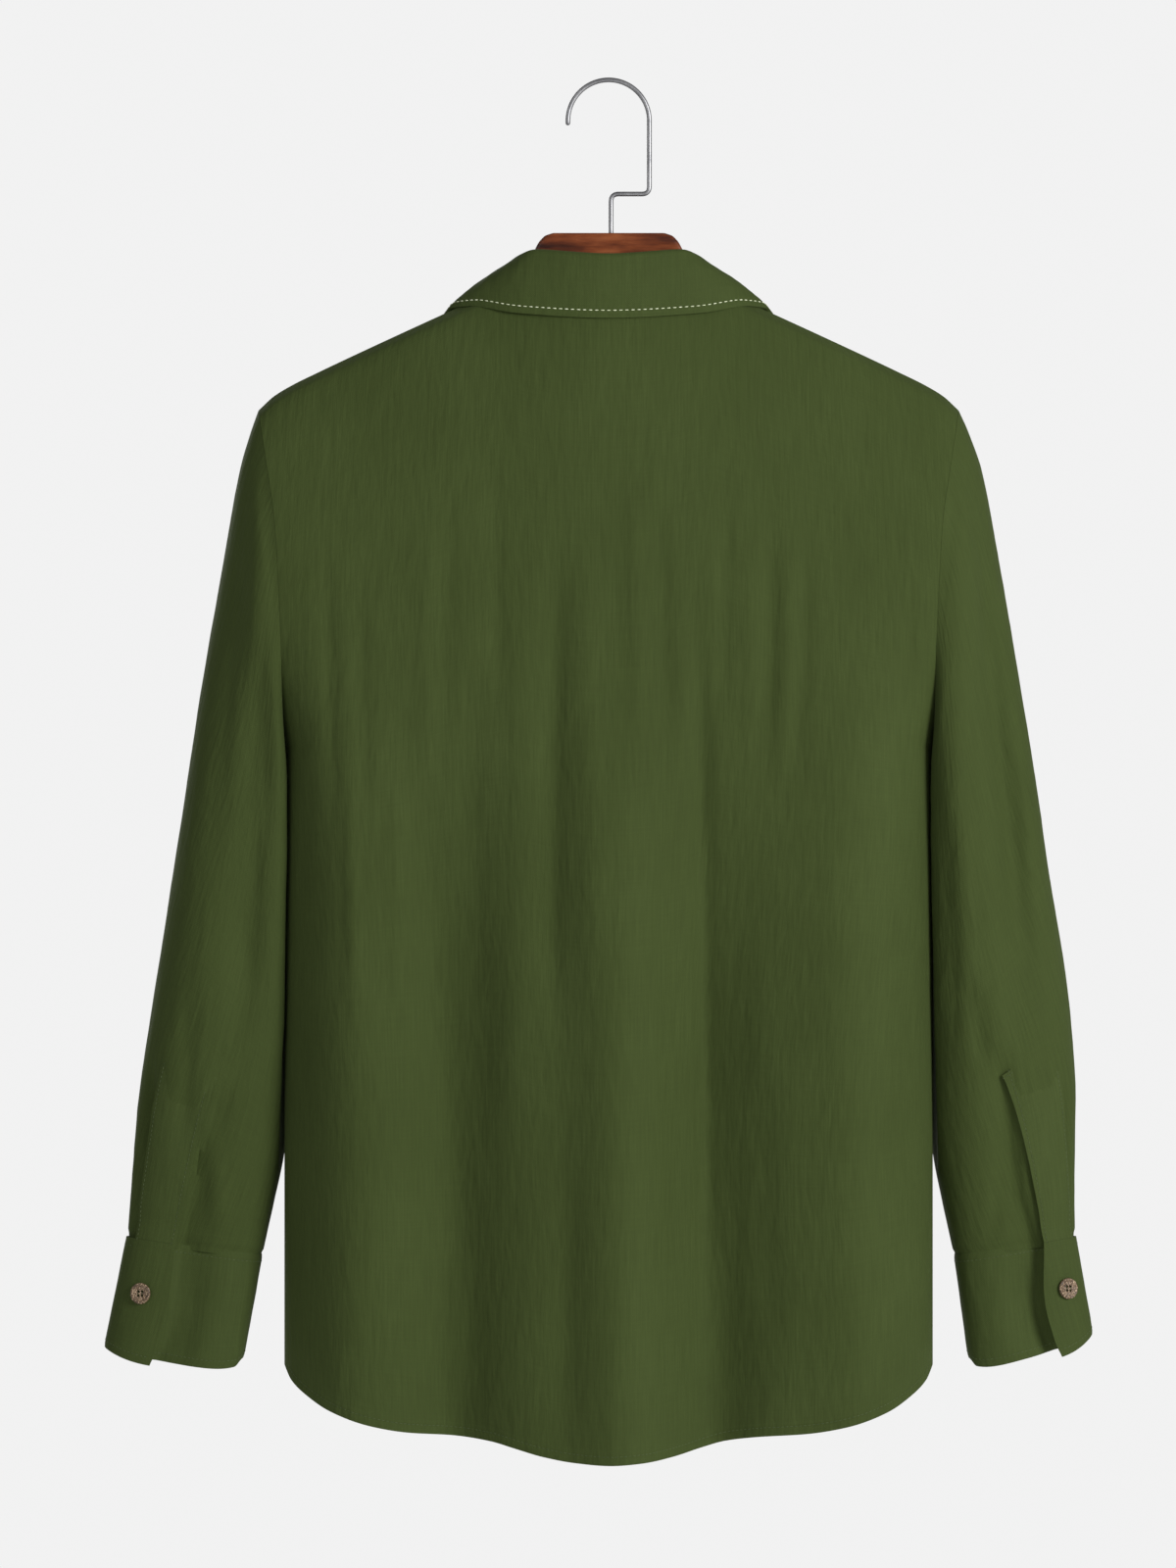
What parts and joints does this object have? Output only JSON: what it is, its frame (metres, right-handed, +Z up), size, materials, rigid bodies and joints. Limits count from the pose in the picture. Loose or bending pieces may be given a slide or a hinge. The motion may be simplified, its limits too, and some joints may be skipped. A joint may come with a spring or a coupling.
{
  "type": "long-sleeve shirt on a hanger",
  "caption": "Olive green long-sleeve button shirt with collar, cuffs and shirt-tail hem, hanging open and empty on a wooden hanger with a wire hook.",
  "frame": {"origin": "the top of the inside of the hook, where a rail carries it", "axes": "+Z up; +Y out of the shirt's back; +X toward the wearer's left sleeve"},
  "size_m": [0.6581, 0.1416, 0.9196],
  "materials": {
    "cloth": "crinkled linen and cotton plain weave in olive green, matt, with contrast stitching on the collar",
    "button": "mottled brown coconut shell, worn smooth, with holes for the thread",
    "wood": "reddish brown hardwood under clear gloss varnish",
    "steel": "plain drawn steel wire, satin"
  },
  "bodies": {
    "root": {"back": "cloth", "front_left": "cloth", "front_right": "cloth", "front_placket": "cloth", "collar": "cloth", "collar_stand": "cloth", "sleeve_left": "cloth", "sleeve_right": "cloth", "placket_left": "cloth", "placket_right": "cloth", "cuff_left": "cloth", "cuff_right": "cloth", "button_front_1": "button", "button_front_2": "button", "button_front_3": "button", "button_front_4": "button", "button_front_5": "button", "button_front_6": "button", "button_front_7": "button", "button_collar": "button", "button_cuff_left": "button", "button_cuff_right": "button", "hanger": "wood", "hook": "steel"}
  },
  "joints": []
}
